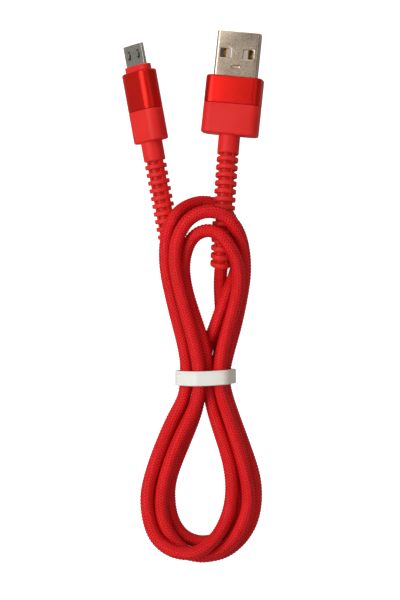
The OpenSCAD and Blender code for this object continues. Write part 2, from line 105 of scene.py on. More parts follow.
# Plug places, as in part.scad: the middle of the rear face, the tilt in the table's plane,
# and the roll about the length.
USB_REAR, USB_TILT, USB_ROLL = Vector((10, 44.4, 4.7)), -6.0, 8.5
MICRO_REAR, MICRO_TILT, MICRO_ROLL = Vector((-11.5, 42.6, 4.65)), 10.3, 42.0


def plug_axis(tilt):
    return Vector((-math.sin(math.radians(tilt)), math.cos(math.radians(tilt)), 0))


def plug_matrix(rear, tilt, roll):
    turn = Matrix.Rotation(math.radians(tilt), 4, "Z") @ Matrix.Rotation(math.radians(-roll), 4, "Y")
    return Matrix.Translation(rear) @ turn


USB = plug_matrix(USB_REAR, USB_TILT, USB_ROLL)
MICRO = plug_matrix(MICRO_REAR, MICRO_TILT, MICRO_ROLL)
USB_LINE = [USB_REAR, USB_REAR - 5 * plug_axis(USB_TILT), Vector((8.2, 22, 9.9)), Vector(ROUTE[0])]
MICRO_LINE = [MICRO_REAR, MICRO_REAR - 12 * plug_axis(MICRO_TILT), Vector((-6.9, 17.5, 3.1)),
              Vector(ROUTE[-1])]


# ---------------------------------------------------------------- mesh helpers
def add_mesh(name, verts, faces, uv=None, sharp=None):
    """verts in millimetres; uv gives a pair for each corner of each face."""
    mesh = bpy.data.meshes.new(name)
    mesh.from_pydata([tuple(v) for v in np.asarray(verts, float) * MM], [], [tuple(f) for f in faces])
    if uv is not None:
        layer = mesh.uv_layers.new(name="weave")
        layer.data.foreach_set("uv", np.asarray(uv, np.float32).ravel())
    mesh.validate()
    mesh.polygons.foreach_set("use_smooth", [True] * len(mesh.polygons))
    if sharp is not None:
        mesh.set_sharp_from_angle(angle=math.radians(sharp))
    mesh.update()
    o = bpy.data.objects.new(name, mesh)
    bpy.context.scene.collection.objects.link(o)
    return o


def loft(name, loops, closed=False, caps=True, matrix=None, sharp=30):
    """A skin over loops of the same number of points.

    closed joins the last loop to the first; otherwise caps shuts both ends.
    """
    n = len(loops[0])
    count = len(loops)
    verts = [Vector(p) for loop in loops for p in loop]
    if matrix is not None:
        verts = [matrix @ v for v in verts]
    faces = []
    for i in range(count if closed else count - 1):
        j = (i + 1) % count
        for k in range(n):
            m = (k + 1) % n
            faces.append((i * n + k, i * n + m, j * n + m, j * n + k))
    if caps and not closed:
        faces.append(tuple(range(n - 1, -1, -1)))
        faces.append(tuple((count - 1) * n + k for k in range(n)))
    return add_mesh(name, verts, faces, sharp=sharp)


def rounded_loop(w, h, r, y, steps=10):
    """A rounded rectangle across the plug's length, at y, listed so that a loft towards +Y faces outwards."""
    r = max(min(r, w / 2 - 1e-4, h / 2 - 1e-4), 1e-3)
    points = []
    for cx, cz, start in ((w / 2 - r, h / 2 - r, 0), (-w / 2 + r, h / 2 - r, 90),
                          (-w / 2 + r, -h / 2 + r, 180), (w / 2 - r, -h / 2 + r, 270)):
        for k in range(steps + 1):
            a = math.radians(start + 90 * k / steps)
            points.append((cx + r * math.cos(a), y, cz + r * math.sin(a)))
    return points[::-1]


# ---------------------------------------------------------------- the cord
def clamped_spline(points, start_way, end_way, per_span=24):
    """A curve of continuous curvature through the points, with the given directions at its ends."""
    p = np.array(points, float)
    t = np.concatenate([[0], np.cumsum(np.sqrt(np.linalg.norm(np.diff(p, axis=0), axis=1)))])
    h = np.diff(t)
    n = len(p)
    a = np.zeros((n, n))
    b = np.zeros((n, 3))
    slope = np.diff(p, axis=0) / h[:, None]
    d0 = np.array(start_way, float) * np.linalg.norm(slope[0])
    d1 = np.array(end_way, float) * np.linalg.norm(slope[-1])
    a[0, 0], a[0, 1], b[0] = 2 * h[0], h[0], 6 * (slope[0] - d0)
    a[-1, -1], a[-1, -2], b[-1] = 2 * h[-1], h[-1], 6 * (d1 - slope[-1])
    for i in range(1, n - 1):
        a[i, i - 1], a[i, i], a[i, i + 1] = h[i - 1], 2 * (h[i - 1] + h[i]), h[i]
        b[i] = 6 * (slope[i] - slope[i - 1])
    m = np.linalg.solve(a, b)
    out = []
    for i in range(n - 1):
        u = np.linspace(0, h[i], per_span, endpoint=False)[:, None]
        w = h[i] - u
        out.append((m[i] * w ** 3 + m[i + 1] * u ** 3) / (6 * h[i])
                   + (p[i] / h[i] - m[i] * h[i] / 6) * w + (p[i + 1] / h[i] - m[i + 1] * h[i] / 6) * u)
    out.append(p[-1:])
    return np.vstack(out)


def bezier(line, t):
    p = [np.array(q, float) for q in line]
    t = np.asarray(t, float)[..., None]
    return (1 - t) ** 3 * p[0] + 3 * t * (1 - t) ** 2 * p[1] + 3 * t * t * (1 - t) * p[2] + t ** 3 * p[3]


def unit(v):
    return v / np.linalg.norm(v, axis=-1, keepdims=True)


class Track:
    """A line with a steady frame along it, read by length."""

    def __init__(self, points, up=None):
        self.p = np.asarray(points, float)
        self.s = np.concatenate([[0], np.cumsum(np.linalg.norm(np.diff(self.p, axis=0), axis=1))])
        way = unit(np.gradient(self.p, self.s, axis=0))
        side = np.zeros_like(way)
        if up is None:
            first = np.cross(way[0], (0, 0, 1))
            side[0] = first / np.linalg.norm(first)
            for i in range(1, len(way)):
                v = side[i - 1] - way[i] * np.dot(side[i - 1], way[i])
                side[i] = v / np.linalg.norm(v)
        else:
            side = unit(np.cross(way, np.broadcast_to(up, way.shape)))
        self.way, self.side, self.top = way, side, np.cross(side, way)
        self.length = self.s[-1]

    def at(self, s, field):
        return np.stack([np.interp(s, self.s, field[:, k]) for k in range(3)], -1)

    def place(self, s, r, angle):
        """Points at length s, distance r from the line, at an angle round it (radians)."""
        side, top = self.at(s, self.side), self.at(s, self.top)
        outward = np.cos(angle)[..., None] * side + np.sin(angle)[..., None] * top
        return self.at(s, self.p) + r[..., None] * outward


LINE_POINTS = 400              # points read along a relief's line


def relief_part(line, length):
    """Points of a relief's line from `length` before its far end, to the far end."""
    t = np.linspace(0, 1, LINE_POINTS)
    p = bezier(line, t)
    s = np.concatenate([[0], np.cumsum(np.linalg.norm(np.diff(p, axis=0), axis=1))])
    return p[s > s[-1] - length]


usb_inside = relief_part(USB_LINE, CORD_IN_RELIEF)
micro_inside = relief_part(MICRO_LINE, CORD_IN_RELIEF)
leaving = unit(usb_inside[-1] - usb_inside[-2])
arriving = unit(micro_inside[-2] - micro_inside[-1])
free_run = clamped_spline(ROUTE, leaving, arriving)
free_run[:, 2] = np.maximum(free_run[:, 2], CORD_R)       # the table holds the cord up
cord_track = Track(np.vstack([usb_inside[:-1], free_run, micro_inside[::-1][1:]]))

COLUMNS = 14                   # herringbone columns round the cord
STITCH = 0.84                  # length of cord to each stitch
RINGS_A_STITCH = 2
TWIST_LENGTH = 210.0           # cord length in which the columns turn once round
# Depths below the cord's outside: at a crest's side, and at a valley's middle and side.
CREST_SIDE, VALLEY_MIDDLE, VALLEY_SIDE = 0.16, 0.18, 0.24


def make_cord():
    around = 2 * COLUMNS
    step = STITCH / RINGS_A_STITCH
    rings = int(cord_track.length / step)
    step = cord_track.length / rings
    s = np.arange(rings + 1) * step
    k = np.arange(around)
    zigzag = np.array([0, 0.5, 1, 0.5])[k % 4] * STITCH
    fade = np.clip(np.minimum(s - STITCH, cord_track.length - 2 * STITCH - s) / STITCH, 0, 1)
    at = s[:, None] + fade[:, None] * zigzag[None, :]
    crest = (np.arange(rings + 1) % RINGS_A_STITCH == 0)[:, None]
    middle = (k % 2 == 1)[None, :]
    on_crest = np.where(middle, 0.0, CREST_SIDE)
    in_valley = np.where(middle, VALLEY_MIDDLE, VALLEY_SIDE)
    r = CORD_R - np.where(crest, on_crest, in_valley)
    angle = (2 * math.pi * k / around)[None, :] + 2 * math.pi * at / TWIST_LENGTH
    verts = cord_track.place(at, r, angle).reshape(-1, 3)
    i, j = np.meshgrid(np.arange(rings), k, indexing="ij")
    n = (j + 1) % around
    quads = np.stack([i * around + j, i * around + n, (i + 1) * around + n, (i + 1) * around + j], -1)
    v = at / STITCH
    jn = j + 1
    uv = np.stack([np.stack([j / 2, v[i, j]], -1), np.stack([jn / 2, v[i, n]], -1),
                   np.stack([jn / 2, v[i + 1, n]], -1), np.stack([j / 2, v[i + 1, j]], -1)], 2).reshape(-1, 2)
    faces = [tuple(q) for q in quads.reshape(-1, 4).tolist()]
    faces += [tuple(range(around - 1, -1, -1)), tuple(rings * around + x for x in range(around))]
    uv = np.vstack([uv, np.zeros((2 * around, 2))])
    o = add_mesh("cord", verts, faces, uv)
    path = [tuple(q * MM) for q in cord_track.at(s[::2], cord_track.p)]
    return o, path


cord, cord_path = make_cord()
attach(cord, "cable")
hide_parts("braided_cord")

# ---------------------------------------------------------------- strain reliefs
SHARP = 40                     # degrees between two faces from which the mouldings' edges stay crisp
RELIEF_R = 3.03
RELIEF_CORE = 2.2
BARREL_R = 3.0
BARREL_L = 5.4
RING_COUNT = 14
GROOVE_SHARE = 0.43
RING_SHOULDER = 0.28           # depth of a ring's side wall below its crown
# A ring's rounded edge: length in from its side, depth below its crown.
RING_EDGE = [(0.03, 0.15), (0.09, 0.07), (0.18, 0.02), (0.30, 0.0)]
# The smooth barrel's ends: length along it and rise above it; length before its end and depth below it.
BARREL_LIP = [(0.0, 0.0), (0.02, 0.10), (0.14, 0.02), (0.35, 0.0)]
BARREL_END = [(0.30, 0.0), (0.12, 0.04), (0.03, 0.14)]
END_GRIP = 0.05                # how far the last ring reaches into the cord
SLOT_STEPS = 8                 # spans round each slot, between two webs
GROOVE_REACH = 0.01            # a station is in a groove when its slots come this near the core
WEB_WALL = 1.5                 # degrees taken by a web's side wall
RELIEF_POINTS = 300            # points along the line that a relief's frame is read from


def relief_angles(webs):
    """Angles round a relief, and for each the number of the web it lies on, or 0 in a slot."""
    out, share = [], []
    for i, (middle, half, _) in enumerate(webs):
        following, following_half, _ = webs[(i + 1) % len(webs)]
        if i == len(webs) - 1:
            following += 360
        out += [middle - half, middle, middle + half]
        share += [i + 1] * 3
        a, b = middle + half + WEB_WALL, following - following_half - WEB_WALL
        out += [a + (b - a) * k / SLOT_STEPS for k in range(SLOT_STEPS + 1)]
        share += [0] * (SLOT_STEPS + 1)
    return np.array(out), np.array(share)


def make_relief(name, line, webs):
    """A ringed moulding along a line, with lengthwise webs between its rings."""
    track = Track(bezier(line, np.linspace(0, 1, RELIEF_POINTS)), up=(0, 0, 1))
    pitch = (track.length - BARREL_L) / RING_COUNT
    groove = pitch * GROOVE_SHARE
    angles, share = relief_angles(webs)
    slot = np.array([RELIEF_CORE] + [r for _, _, r in webs])[share]
    full = np.ones(len(angles))
    stations = [(along, (BARREL_R + rise) * full) for along, rise in BARREL_LIP]
    stations += [(BARREL_L * 0.5, BARREL_R * full)]
    stations += [(BARREL_L - before, (BARREL_R - below) * full) for before, below in BARREL_END]
    for i in range(RING_COUNT):
        s = BARREL_L + i * pitch
        near, far = s + groove, s + pitch
        stations += [(s, slot), (s + groove * 0.5, slot), (near, slot)]
        stations += [(near, (RELIEF_R - RING_SHOULDER) * full)]
        stations += [(near + along, (RELIEF_R - below) * full) for along, below in RING_EDGE]
        stations += [(far - along, (RELIEF_R - below) * full) for along, below in RING_EDGE[::-1]]
        stations += [(far, (RELIEF_R - RING_SHOULDER) * full)]
    stations += [(far, (CORD_R - END_GRIP) * full)]
    turns = np.radians(angles)
    loops = [track.place(np.full(len(angles), min(s, track.length)), r, turns) for s, r in stations]
    relief = loft(name, loops, sharp=SHARP)
    around = len(angles)
    # Faces on the slot floors take the second material, a darker red that is painted shade deep in the slots.
    in_groove = [r[share == 0].max() < RELIEF_CORE + GROOVE_REACH for _, r in stations]
    for face in relief.data.polygons[:around * (len(stations) - 1)]:
        i, k = divmod(face.index, around)
        if in_groove[i] and in_groove[i + 1] and share[k] == 0 and share[(k + 1) % around] == 0:
            face.material_index = 1
    return relief


# Each web: its middle and half width in degrees round from the side, and its radius.
USB_WEBS = [(39, 4, 2.45), (128, 4, 2.45), (219, 4, 2.45), (308, 4, 2.45)]
MICRO_WEBS = [(38, 5, 2.5), (132, 14, 2.8), (218, 5, 2.5), (312, 14, 2.8)]
usb_relief = make_relief("usb_a_relief", USB_LINE, USB_WEBS)
micro_relief = make_relief("micro_usb_relief", MICRO_LINE, MICRO_WEBS)


# ---------------------------------------------------------------- plugs
# Each body's width, thickness and corner, then lengths from its rear face.
USB_W, USB_T, USB_R = 15.7, 7.8, 2.5
USB_HOUSING_L, USB_SLEEVE_Y, USB_FRONT_Y, USB_TIP_Y = 8.4, 8.5, 16.0, 28.3
MICRO_W, MICRO_T, MICRO_R = 10.2, 6.4, 2.75
MICRO_HOUSING_L, MICRO_SLEEVE_Y, MICRO_FRONT_Y = 8.8, 8.9, 19.6
MICRO_TIP_Y = 27.1
COLLAR_W, COLLAR_T, COLLAR_R = 8.3, 4.0, 1.9
SKIN = 1.0
MOUTH_DEPTH = 0.6              # how deep the inside of a housing's or sleeve's open end is drawn
REAR_ROUND, REAR_SQUASH = 0.6, 0.85                    # rounding of a housing's rear edge, and its squash
FRONT_ROUND = 0.55             # rounding of a sleeve's front edge
HOLE_DEPTH = 0.7               # how deep the hole in its front face is drawn
# Soft edges: a housing's mouth as length back from it and inset, a sleeve's rear as length along and inset.
MOUTH_EDGE = [(0.12, 0.0), (0.03, 0.04), (0.0, 0.12)]
SLEEVE_EDGE = [(0.0, 0.10), (0.03, 0.03), (0.10, 0.0)]
# Holes in the sleeves' front faces: width, height, corner.
USB_HOLE = (12.1, 4.6, 0.5)
MICRO_HOLE = (COLLAR_W + 0.1, COLLAR_T + 0.1, COLLAR_R)


def inset_loop(w, h, r, y, inset, steps=10):
    return rounded_loop(w - 2 * inset, h - 2 * inset, r - inset, y, steps)


def make_housing(name, w, h, r, length, matrix):
    """A soft moulding: rounded rear edge, closed rear face, open front with a thin wall."""
    loops = []
    for a in range(0, 91, 15):
        inset = REAR_ROUND * (1 - math.sin(math.radians(a)))
        y = REAR_ROUND * (1 - math.cos(math.radians(a))) * REAR_SQUASH
        loops.append(inset_loop(w, h, r, y, inset))
    loops += [inset_loop(w, h, r, length * k, 0) for k in (0.4, 0.8)]
    loops += [inset_loop(w, h, r, length - back, inset) for back, inset in MOUTH_EDGE]
    loops += [inset_loop(w, h, r, length - back, SKIN) for back in (0, MOUTH_DEPTH)]
    return loft(name, loops, matrix=matrix, sharp=SHARP)


def make_sleeve(name, w, h, r, y0, y1, hole, matrix):
    """A thin metal tube with a softly rounded front edge and a flat front face round the hole."""
    hole_w, hole_h, hole_r = hole
    loops = [inset_loop(w, h, r, y0 + depth, SKIN) for depth in (MOUTH_DEPTH, 0)]
    loops += [inset_loop(w, h, r, y0 + along, inset) for along, inset in SLEEVE_EDGE]
    loops += [inset_loop(w, h, r, y0 + (y1 - y0) * k, 0) for k in (0.35, 0.7)]
    for a in range(0, 91, 18):
        inset = FRONT_ROUND * (1 - math.cos(math.radians(a)))
        loops.append(inset_loop(w, h, r, y1 - FRONT_ROUND * (1 - math.sin(math.radians(a))), inset))
    loops += [rounded_loop(hole_w, hole_h, hole_r, y1 - depth) for depth in (0, HOLE_DEPTH)]
    return loft(name, loops, caps=False, matrix=matrix, sharp=SHARP)


usb_housing = make_housing("usb_a_body", USB_W, USB_T, USB_R, USB_HOUSING_L, USB)
usb_sleeve = make_sleeve("usb_a_metal_sleeve", USB_W, USB_T, USB_R, USB_SLEEVE_Y, USB_FRONT_Y,
                         USB_HOLE, USB)
micro_housing = make_housing("micro_usb_body", MICRO_W, MICRO_T, MICRO_R, MICRO_HOUSING_L, MICRO)
micro_sleeve = make_sleeve("micro_usb_metal_sleeve", MICRO_W, MICRO_T, MICRO_R, MICRO_SLEEVE_Y, MICRO_FRONT_Y,
                           MICRO_HOLE, MICRO)


# ---------------------------------------------------------------- steel shells
MOUTH_LEAD = 0.08              # rounding of a shell's open edge
SHELL_SHARP = 12               # degrees from which a shell's edges stay crisp
CUT_PAST = 0.3                 # how far a cut runs on past the wall
SHELL_STEPS, CUT_STEPS = 8, 6  # spans round each corner of a shell and of a cut


def cutter(w, l, r, x, y, levels):
    """A closed solid that cuts a hole: levels lists its heights and how much wider it is at each."""
    loops = []
    for z, grow in levels:
        outline = rounded_loop(w + 2 * grow, l + 2 * grow, r + grow, 0, CUT_STEPS)[::-1]
        loops.append([(x + px, y + py, z) for px, _, py in outline])
    return loft("cutter", loops)


def make_shell(name, outline, wall, y0, y1, cuts, matrix):
    """A thin-walled tube inside an outline, with a rounded mouth; each cut is taken away from it."""
    lead = MOUTH_LEAD
    loops = [outline(y0, 0), outline(y1 - lead, 0), outline(y1 - lead * 0.3, lead * 0.3), outline(y1, lead),
             outline(y1, wall), outline(y0, wall)]
    shell = loft(name, loops, closed=True)
    for cut in cuts:
        taken = shell.modifiers.new("cut", "BOOLEAN")
        taken.operation = "DIFFERENCE"
        taken.solver = "EXACT"
        taken.object = cut
    evaluated = shell.evaluated_get(bpy.context.evaluated_depsgraph_get())
    mesh = bpy.data.meshes.new_from_object(evaluated)
    shell.modifiers.clear()
    shell.data = mesh
    mesh.name = name
    for cut in cuts:
        bpy.data.objects.remove(cut)
    scaled = Matrix.Diagonal((MM, MM, MM, 1))
    mesh.transform(scaled @ matrix @ scaled.inverted())
    mesh.polygons.foreach_set("use_smooth", [True] * len(mesh.polygons))
    mesh.set_sharp_from_angle(angle=math.radians(SHELL_SHARP))
    return shell


SHELL_W, SHELL_T, SHELL_WALL, SHELL_CORNER = 12.0, 4.5, 0.3, 0.85
SHELL_BACK_Y = USB_TIP_Y - 18.7
WINDOW_W, WINDOW_L, WINDOW_X, WINDOW_Y, WINDOW_CORNER = 2.9, 2.5, 3.15, USB_TIP_Y - 6.05, 0.4
DIMPLE_W, DIMPLE_L, DIMPLE_Y, DIMPLE_DEPTH = 2.8, 1.2, USB_TIP_Y - 9.7, 0.27
DIMPLE_SLOPE, DIMPLE_CORNER = 0.5, 0.3                 # width its sloping rim takes, and its corner
# The dimple's bowl: share of its depth below the face, and how much wider the cut is there.
DIMPLE_BOWL = [(1.0, -0.25), (0.9, -0.08), (0.7, 0.04), (0.4, 0.14), (0.15, 0.21), (0.0, 0.28)]
# A window's soft rim: height from the outside of the wall, and how much wider the cut is there.
WINDOW_RIM = [(0.3, 0.30), (0.0, 0.24), (-0.04, 0.12), (-0.12, 0.03), (-0.2, 0.0)]


def rim_levels(surface, wall):
    """Heights and widths of a cut through a wall from its outside, with a softly rounded rim."""
    way = 1 if surface > 0 else -1
    rim = WINDOW_RIM + [(-wall - CUT_PAST, 0.0)]
    return [(surface + way * height, grow) for height, grow in rim][::-way]


def usb_outline(y, inset):
    return inset_loop(SHELL_W, SHELL_T, SHELL_CORNER, y, inset, SHELL_STEPS)


usb_top = SHELL_T / 2
usb_cuts = [cutter(WINDOW_W, WINDOW_L, WINDOW_CORNER, x, WINDOW_Y, rim_levels(side * usb_top, SHELL_WALL))
            for x in (-WINDOW_X, WINDOW_X) for side in (1, -1)]
bowl = [(usb_top - DIMPLE_DEPTH * share, grow) for share, grow in DIMPLE_BOWL]
bowl.append((usb_top + CUT_PAST, DIMPLE_SLOPE))
usb_cuts.append(cutter(DIMPLE_W - DIMPLE_SLOPE, DIMPLE_L - DIMPLE_SLOPE, DIMPLE_CORNER, 0, DIMPLE_Y, bowl))
usb_shell = make_shell("usb_a_steel_shell", usb_outline, SHELL_WALL, SHELL_BACK_Y, USB_TIP_Y, usb_cuts, USB)

MICRO_SHELL_W, MICRO_SHELL_T, MICRO_WALL, MICRO_CHAMFER, MICRO_CORNER = 6.85, 1.8, 0.2, 0.75, 0.22
MICRO_BACK_Y, HOOK_X, SLOT_W, SLOT_L = 14.0, 1.7, 1.2, 2.6
SLOT_Y = MICRO_TIP_Y - 2.8
SLOT_RIM_W, SLOT_RIM_L, SLOT_CORNER = 0.24, 0.2, 0.15  # what its rim takes of its width and length; corner
# A hook slot's soft rim: height from the shell's upper face, and how much wider the cut is there.
SLOT_RIM = [(-0.5, 0.0), (-0.12, 0.0), (-0.05, 0.05), (-0.01, 0.10), (0.3, 0.2)]


def micro_outline(y, inset):
    """The chamfered outline of the micro-USB shell, each corner a small arc."""
    w, t, c = MICRO_SHELL_W / 2 - inset, MICRO_SHELL_T / 2 - inset, MICRO_CHAMFER
    corners = [(-w, t), (w, t), (w, c - t), (w - c, -t), (c - w, -t), (-w, c - t)]
    points = []
    for i, corner in enumerate(corners):
        here = Vector(corner)
        before = (Vector(corners[i - 1]) - here).normalized() * MICRO_CORNER
        after = (Vector(corners[(i + 1) % len(corners)]) - here).normalized() * MICRO_CORNER
        for k in (0, 0.25, 0.5, 0.75, 1):
            q = here + before * (1 - k) ** 2 + after * k ** 2
            points.append((q.x, y, q.y))
    return points


micro_top = MICRO_SHELL_T / 2
slot_levels = [(micro_top + rise, grow) for rise, grow in SLOT_RIM]
micro_cuts = [cutter(SLOT_W - SLOT_RIM_W, SLOT_L - SLOT_RIM_L, SLOT_CORNER, x, SLOT_Y, slot_levels)
              for x in (-HOOK_X, HOOK_X)]
micro_shell = make_shell("micro_usb_steel_shell", micro_outline, MICRO_WALL, MICRO_BACK_Y, MICRO_TIP_Y,
                         micro_cuts, MICRO)


# ---------------------------------------------------------------- tie band
TIE_CORNERS = [(-2.2, 2.8), (-2.2, 6.6), (1.4, 9.8), (7.5, 9.5), (9, 5.4), (6.5, 2.8)]
TIE_IN_R = 2.0
TIE_T = 0.8
TIE_W = 4.0
TIE_Y = -22.3
TIE_TURN = 2.0                 # degrees its length is turned from X
TIE_EDGE, TIE_GROOVE, TIE_SAG = 0.28, 0.07, 0.03       # edge rounding; depths of the groove and of the middle
# The band's sideways bend: how far, about which X, over what half length, and from what end offset.
TIE_BOW, TIE_BOW_X, TIE_BOW_HALF, TIE_BOW_END = -0.28, 3.0, 8.0, 0.1
TIE_TOP_Z, TIE_BOW_LOW = 6, 0.4                        # above this height it bends fully, below by this share
TIE_TURN_STEPS, TIE_SIDE_STEPS = 8, 6                  # spans round each corner, and along each side
TIE_SHARP = 50                 # degrees from which its edges stay crisp


def tie_outline():
    """Points and outward directions round the bundle, clockwise from the lower left, as (x, z)."""
    points, outs = [], []
    n = len(TIE_CORNERS)
    for i in range(n):
        a, b, c = (np.array(TIE_CORNERS[(i + k) % n], float) for k in (-1, 0, 1))
        turn_in = math.atan2(b[0] - a[0], a[1] - b[1])
        turn_out = math.atan2(c[0] - b[0], b[1] - c[1])
        sweep = (turn_in - turn_out) % (2 * math.pi)
        for k in range(TIE_TURN_STEPS + 1):
            w = turn_in - sweep * k / TIE_TURN_STEPS
            out = np.array([math.cos(w), math.sin(w)])
            points.append(b + TIE_IN_R * out)
            outs.append(out)
        last, nxt = points[-1], c + TIE_IN_R * np.array([math.cos(turn_out), math.sin(turn_out)])
        for k in range(1, TIE_SIDE_STEPS):
            points.append(last + (nxt - last) * k / TIE_SIDE_STEPS)
            outs.append(outs[-1])
    return np.array(points), np.array(outs)


def make_tie():
    points, outs = tie_outline()
    half = TIE_W / 2
    section = [(0.02, -half + 0.1), (0.3, -half), (TIE_T - TIE_EDGE, -half), (TIE_T - 0.09, -half + 0.09),
               (TIE_T, -half + TIE_EDGE), (TIE_T, -half + 0.5), (TIE_T - TIE_GROOVE, -half + 0.60),
               (TIE_T - TIE_SAG, -0.9), (TIE_T - TIE_SAG, 0.9), (TIE_T - TIE_GROOVE, half - 0.60),
               (TIE_T, half - 0.5), (TIE_T, half - TIE_EDGE), (TIE_T - 0.09, half - 0.09),
               (TIE_T - TIE_EDGE, half), (0.3, half), (0.02, half - 0.1)]
    tilt = math.tan(math.radians(TIE_TURN))
    loops = []
    for (x, z), (ox, oz) in zip(points, outs):
        bow = TIE_BOW * math.cos((x - TIE_BOW_X) / TIE_BOW_HALF * math.pi / 2) + TIE_BOW_END
        share = 1 if z > TIE_TOP_Z else TIE_BOW_LOW
        loops.append([(x + ox * d, TIE_Y + tilt * x + y + bow * share, z + oz * d) for d, y in section])
    return loft("flat_tie", loops, closed=True, sharp=TIE_SHARP)


tie = make_tie()

PIECES = [
    (usb_relief, "usb_a_strain_relief", "soft_red"),
    (micro_relief, "micro_usb_strain_relief", "soft_red"),
    (usb_housing, "usb_a_housing", "soft_red"),
    (usb_sleeve, "usb_a_sleeve", "anodised_sleeve"),
    (micro_housing, "micro_usb_housing", "soft_red"),
    (micro_sleeve, "micro_usb_sleeve", "anodised_sleeve"),
    (usb_shell, "usb_a_shell", "plug_shell"),
    (micro_shell, "micro_usb_shell", "plug_shell"),
    (tie, "tie_band", "tie"),
]
for piece, node, slot in PIECES:
    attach(piece, "cable")
    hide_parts(node)


# ---------------------------------------------------------------- materials
class Nodes:
    """Short names for building a node material."""

    def __init__(self, name):
        self.mat = bpy.data.materials.new(name)
        self.mat.use_nodes = True
        self.tree = self.mat.node_tree
        self.shader = self.tree.nodes["Principled BSDF"]

    def new(self, kind, **props):
        node = self.tree.nodes.new(kind)
        for key, value in props.items():
            setattr(node, key, value)
        return node

    def link(self, a, b):
        self.tree.links.new(a, b)

    def put(self, value, socket):
        if hasattr(value, "links"):
            self.link(value, socket)
        else:
            socket.default_value = value

    def math(self, op, a, b=None, c=None, clamp=False):
        node = self.new("ShaderNodeMath", operation=op, use_clamp=clamp)
        for value, socket in zip((a, b, c), node.inputs):
            if value is not None:
                self.put(value, socket)
        return node.outputs[0]

    def mix(self, share, a, b):
        node = self.new("ShaderNodeMix", data_type="RGBA")
        self.put(share, node.inputs["Factor"])
        self.put(a, node.inputs["A"])
        self.put(b, node.inputs["B"])
        return node.outputs["Result"]

    def noise(self, scale, detail, roughness=0.5):
        node = self.new("ShaderNodeTexNoise")
        node.inputs["Scale"].default_value = scale
        node.inputs["Detail"].default_value = detail
        node.inputs["Roughness"].default_value = roughness
        self.link(self.place(), node.inputs["Vector"])
        return node.outputs["Fac"]

    def place(self):
        return self.new("ShaderNodeTexCoord").outputs["Object"]

    def spread(self, value, low, high, to_low=0.0, to_high=1.0):
        node = self.new("ShaderNodeMapRange")
        for socket, v in zip(node.inputs, (value, low, high, to_low, to_high)):
            self.put(v, socket)
        return node.outputs[0]

    def bump(self, height, distance, strength):
        node = self.new("ShaderNodeBump")
        node.inputs["Strength"].default_value = strength
        node.inputs["Distance"].default_value = distance
        self.link(height, node.inputs["Height"])
        return node.outputs[0]

    def set(self, **sockets):
        for name, value in sockets.items():
            self.put(value, self.shader.inputs[name.replace("_", " ")])


def srgb(r, g, b):
    def line(c):
        c /= 255
        return c / 12.92 if c <= 0.04045 else ((c + 0.055) / 1.055) ** 2.4
    return (line(r), line(g), line(b), 1)


YARNS = 5                      # yarns side by side in a stitch


def braid_material():
    """Herringbone stitches on the weave map: columns across it, stitches along it, yarns in each stitch. The
    colour carries painted shade in the valleys between stitches and a painted highlight on their crests.
    """
    n = Nodes("red_braid")
    uv = n.new("ShaderNodeUVMap", uv_map="weave").outputs[0]
    part = n.new("ShaderNodeSeparateXYZ")
    n.link(uv, part.inputs[0])
    u, v = part.outputs[0], part.outputs[1]
    column = n.math("FLOOR", u)
    across = n.math("SUBTRACT", u, column)
    odd = n.math("MODULO", column, 2.0)
    slant = n.math("SUBTRACT", n.math("MULTIPLY", odd, 2.0), 1.0)
    phase = n.math("MULTIPLY_ADD", across, slant, v)
    wave = n.math("COSINE", n.math("MULTIPLY", phase, 2 * math.pi))
    ridge = n.spread(wave, -1.0, 1.0)
    dome = n.math("SINE", n.math("MULTIPLY", across, math.pi))
    lift = n.math("MULTIPLY", ridge, n.math("POWER", dome, 0.6))
    yarn = n.math("COSINE", n.math("MULTIPLY", phase, 2 * math.pi * YARNS))
    stitch = n.new("ShaderNodeCombineXYZ")
    n.link(column, stitch.inputs[0])
    n.link(n.math("ROUND", phase), stitch.inputs[1])
    chance = n.new("ShaderNodeTexWhiteNoise", noise_dimensions="2D")
    n.link(stitch.outputs[0], chance.inputs["Vector"])
    wide = n.noise(90.0, 2.0)
    # Painted shade and highlight: the stitch valleys are coloured dark red and the crests bright red, over a
    # random tone for each stitch.
    shade = n.math("MULTIPLY_ADD", chance.outputs["Value"], 0.25, n.math("MULTIPLY", lift, 1.50), clamp=True)
    body = n.mix(shade, srgb(172, 0, 4), srgb(255, 34, 38))
    tint = n.mix(n.spread(wide, 0.35, 0.65), srgb(205, 0, 12), srgb(240, 10, 20))
    n.set(Base_Color=n.mix(0.15, body, tint))
    n.set(Roughness=n.spread(lift, 0.0, 1.0, 0.62, 0.34))
    n.set(Specular_IOR_Level=0.2)
    height = n.math("MULTIPLY_ADD", yarn, 0.10, lift)
    n.set(Normal=n.bump(height, 0.00013, 0.9))
    return n.mat


def soft_red_material(name, colour_a, colour_b, low, high):
    n = Nodes(name)
    fine = n.noise(2600.0, 2.0)
    wide = n.noise(120.0, 2.0)
    n.set(Base_Color=n.mix(n.spread(wide, 0.3, 0.7), srgb(*colour_a), srgb(*colour_b)))
    n.set(Roughness=n.spread(fine, 0.3, 0.7, low, high), Specular_IOR_Level=0.22)
    n.set(Subsurface_Weight=0.08, Subsurface_Scale=0.0008, Subsurface_Radius=(1.0, 0.2, 0.1))
    n.set(Normal=n.bump(fine, 0.00002, 0.5))
    return n.mat


def anodised_material():
    n = Nodes("red_anodised")
    fine = n.noise(3800.0, 3.0)
    n.set(Base_Color=n.mix(n.spread(fine, 0.3, 0.7), srgb(214, 24, 17), srgb(228, 32, 23)))
    n.set(Metallic=0.85, Roughness=n.spread(fine, 0.3, 0.7, 0.33, 0.42), Specular_IOR_Level=0.5)
    n.set(Normal=n.bump(fine, 0.00001, 0.25))
    return n.mat


